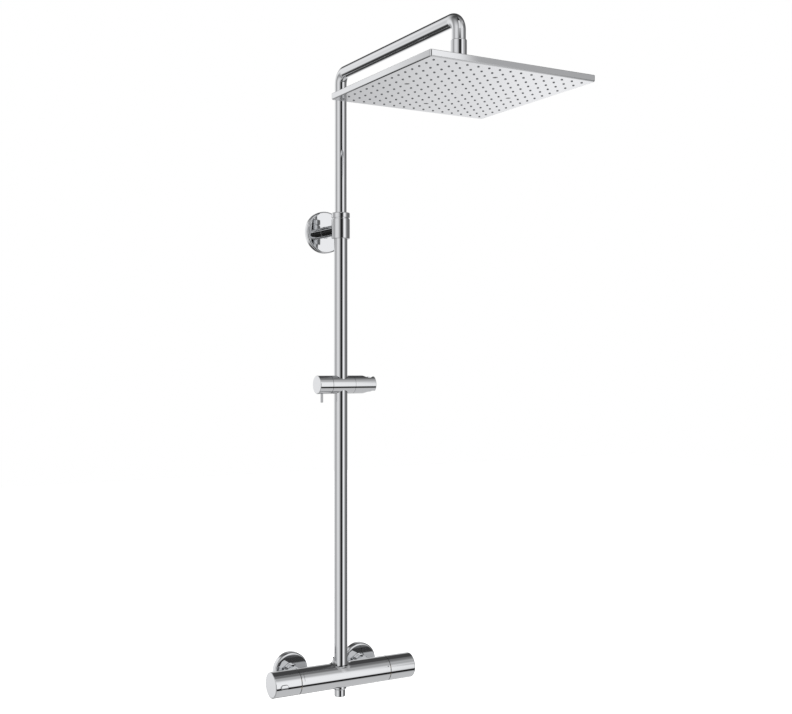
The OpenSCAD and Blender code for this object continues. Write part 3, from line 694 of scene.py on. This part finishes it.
def make_mixer():
    """Bored bar with its setting marks, the flare of the column and the two inlet stubs."""
    low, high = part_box("mixer_body")
    left = mm(low.x)
    right = mm(high.x)
    # The extra rings on the outside keep the boolean's long faces evenly shaded
    rings = [(HANDLE_R, x, 0) for x in (-88, -82, -40, 40, 91, 97)]
    corners = [(0, -40, 0), (16, -40, 0), (16, left, 0.3), (HANDLE_R, left, 0.3), *rings,
               (HANDLE_R, right, 0.3), (15, right, 0.3), (15, 35, 0), (0, 35, 0)]
    bar = turned("mixer_bar", corners, (0, MIXER.y, MIXER.z), "+x")
    # Each mark is a place along the bar, degrees above the front, half a width and half a height
    marks = [(-84.8, angle, 0.5, 0.8) for angle in range(15, 50, 5)]
    marks += [(94, 23, 1.2, 1.2), (94, 47, 0.8, 0.8)]
    for x, angle, half_x, half_z in marks:
        corner = 0.3 if x < 0 else half_z
        outline = stadium(max(half_x - corner, 0), corner, 6)
        stretch = half_z / corner
        ends = (-HANDLE_R - 1, -HANDLE_R + MARK_DEPTH)
        tool = loft("tool", [[(px, y, pz * stretch) for px, pz in outline] for y in ends])
        tool.data.transform(Matrix.Rotation(math.radians(-angle), 4, "X"))
        cut(bar, moved(tool, (x * MM, MIXER.y, MIXER.z)))
    pieces = [make_flare()]
    stub_start = 40
    reach = -mm(MIXER.y) - HANDLE_R + 3 - stub_start
    stub = [(8, 0, 0.3), (12.9, 0, 0.3), (12.9, 3, 0.3), (10.5, 3, 0.3), (10.5, reach, 0), (8, reach, 0)]
    for side in ("left", "right"):
        x = middle("union_nut_" + side).x
        pieces.append(turned("stub_" + side, stub, (x, -stub_start * MM, MIXER.z), "-y", 96))
    body = place(join(bar, *pieces), "mixer_body")
    body.data.materials.append(MARK_PAINT)
    for face in body.data.polygons:
        depth = HANDLE_R - mm((face.center - MIXER).yz.length)
        beside_handle = 80 < abs(mm(face.center.x)) < 97
        if beside_handle and 0.15 < depth < 0.45:
            face.material_index = 1


def make_nipple():
    """Threaded outlet for the hose, under the bar."""
    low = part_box("hose_nipple")[0]
    end = mm(MIXER.z - low.z)
    corners = [(6, 14, 0), (8.95, 14, 0), (8.95, 20, 0), (12.8, 20, 0), (12.8, 24, 0.3), (11, 25.8, 0.3),
               (10.48, 26.4, 0.2), (10.48, end - 1.3, 0.3), (9.4, end, 0.3), (6, end, 0.4)]
    place(turned("nipple_outlet", corners, (COLUMN.x, MIXER.y, MIXER.z), "-z", 96), "hose_nipple")


def make_bracket():
    """Spigot from the wall, and the sleeve and lock ring around the column."""
    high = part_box("bracket_spigot")[1]
    corners = [(8.05, 0, 0.3), (11, 0, 0.3), (11, 53.3, 0), (3.05, 53.3, 0), (3.05, 45, 0), (5.5, 45, 0),
               (5.5, 15.1, 0), (8.05, 15.1, 0)]
    spigot = turned("spigot_wall", corners, (COLUMN.x, high.y, BRACKET.z), "-y")
    place(cut(spigot, screw_hole((COLUMN.x, -14 * MM, BRACKET.z))), "bracket_spigot")

    outer = 17.3
    at = (COLUMN.x, COLUMN.y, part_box("bracket_sleeve")[0].z)
    corners = [(12.73, 0, 0.3), (outer, 0, 1.6), (outer, 37.4, 0.4), (15.6, 37.4, 0.2), (15.6, 30.7, 0),
               (12.73, 30.7, 0)]
    place(turned("sleeve_bracket", corners, at), "bracket_sleeve")

    at = (COLUMN.x, COLUMN.y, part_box("height_lock_ring")[0].z)
    corners = [(13.08, 0, 0), (15.5, 0, 0.3), (15.5, 8.6, 0.2), (outer, 8.6, 0.5), (outer, 18.2, 1.4),
               (11.18, 18.2, 0.4), (11.18, 8.7, 0), (13.08, 8.7, 0)]
    place(turned("ring_height_lock", corners, at), "height_lock_ring")


def make_holder():
    """Clamp knob and its lever pin."""
    length, _, height = size("clamp_knob")
    r = height / 2
    at = (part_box("clamp_knob")[0].x, HOLDER.y, HOLDER.z)
    corners = [(0, 0, 0), (r, 0, 1.2), (r, length, 0.3), (4, length, 0.2), (4, 6, 0), (0, 6, 0)]
    place(turned("knob_clamp", corners, at, "+x"), "clamp_knob")

    length = size("lever_pin")[2]
    at = middle("lever_pin")
    at.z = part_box("lever_pin")[0].z
    corners = [(0, 0, 0), (2.5, 0, 0.9), (2.5, length, 0), (0, length, 0)]
    place(turned("pin_lever", corners, at, "+z", 64), "lever_pin")


def arc(r, start, end, steps=16):
    """Points (r, h, 0) of an arc about the axis' origin, in degrees above the horizontal."""
    turns = [math.radians(start + (end - start) * k / steps) for k in range(steps + 1)]
    return [(r * math.cos(t), r * math.sin(t), 0) for t in turns]


def soft_square(side, corner, z, steps=8):
    """Square outline with rounded corners, at height z."""
    half = side / 2 - corner
    ring = []
    for k, (sx, sy) in enumerate(((1, 1), (-1, 1), (-1, -1), (1, -1))):
        for n in range(steps + 1):
            turn = math.pi / 2 * (k + n / steps)
            ring.append((sx * half + corner * math.cos(turn), sy * half + corner * math.sin(turn), z))
    return ring


# Nozzles: rows each side of the middle one, and their spacing in millimetres
NOZZLE_ROWS = 7
NOZZLE_PITCH = 19.3


def make_head():
    """Ball joint's stem, head shell with its chamfer, and the nozzles."""
    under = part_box("head_shell")[0].z
    base = (HEAD.x, HEAD.y, under)
    ball_h = mm(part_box("ball_nut")[0].z) + 10 - mm(under)
    neck = mm(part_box("ball_stem")[1].z) - mm(under) - ball_h
    ball = arc(13, -72, 62.5, 28)
    collar = [(6, neck - 34.3, 0.5), (12.7, neck - 34.3, 1.2), (12.7, neck, 1.2), (11.13, neck, 0.3),
              (11.13, neck - 15.3, 0), (10.45, neck - 15.3, 0), (10.45, neck - 30.3, 0),
              (4, neck - 30.3, 0)]
    place(turned("stem_ball", ball + collar, (HEAD.x, HEAD.y, under + ball_h * MM)), "ball_stem")

    side = size("head_shell")[0]
    thick = 10.5
    edge = 1.0
    edge_steps = 6
    inner = side - 3.2
    outline = [(inner, 1.6, 8.9), (inner, 1.6, 0.05), (inner + 0.2, 1.7, 0), (side - 0.3, 2.85, 1.45),
               (side - 0.08, 2.96, 1.62), (side, 3, 1.8), (side, 3, 2.1), (side, 3, 9.2)]
    rings = [soft_square(*row) for row in outline]
    for k in range(edge_steps + 1):
        a = math.pi / 2 * k / edge_steps
        inset = edge * (1 - math.cos(a))
        rings.append(soft_square(side - 2 * inset, 3 - inset, thick - edge * (1 - math.sin(a))))
    shell = loft("shell_head", rings)
    seat = [(r, h + ball_h, 0) for r, h, _ in arc(15.05, 0, -66.5)]
    boss = turned("boss", [(20, 9.5, 0), (20, ball_h, 0.4), *seat, (6, 9.5, 0)], (0, 0, 0))
    place(moved(join(shell, boss), base), "head_shell")

    mat = loft("mat_nozzles", [soft_square(side - 3.6, 1.4, 1.5), soft_square(side - 3.6, 1.4, 2.5)])
    tip = [(0, -0.5, 0), (0.5, -0.5, 0), (0.6, -1, 0), (1.6, -1, 0.3), (1.75, 0, 0), (1.88, 1.6, 0),
           (0, 1.6, 0)]
    tips = []
    for i in range(-NOZZLE_ROWS, NOZZLE_ROWS + 1):
        for j in range(-NOZZLE_ROWS, NOZZLE_ROWS + 1):
            fixing = (i == 0 and abs(j) in (0, 5)) or (j == 0 and abs(i) == 5)
            if not fixing:
                at = (i * NOZZLE_PITCH * MM, j * NOZZLE_PITCH * MM, 0)
                tips.append(turned("tip", tip, at, "+z", 14))
    place(moved(join(mat, *tips), base), "nozzle_mat")


def rest_of_cad():
    """Every CAD node that still shows gets its material and smooth curves."""
    for name, obj in frame["nodes"].items():
        if obj.hide_render:
            continue
        paint(obj, SPECIAL.get(name, MATERIALS[SLOT_OF[name]]))
        finish_mesh(obj)


bpy.context.scene.view_settings.view_transform = "Standard"
make_camera()
make_world()
make_floor()
make_tubes()
make_rosettes()
make_handles()
make_mixer()
make_nipple()
make_bracket()
make_holder()
make_head()
rest_of_cad()
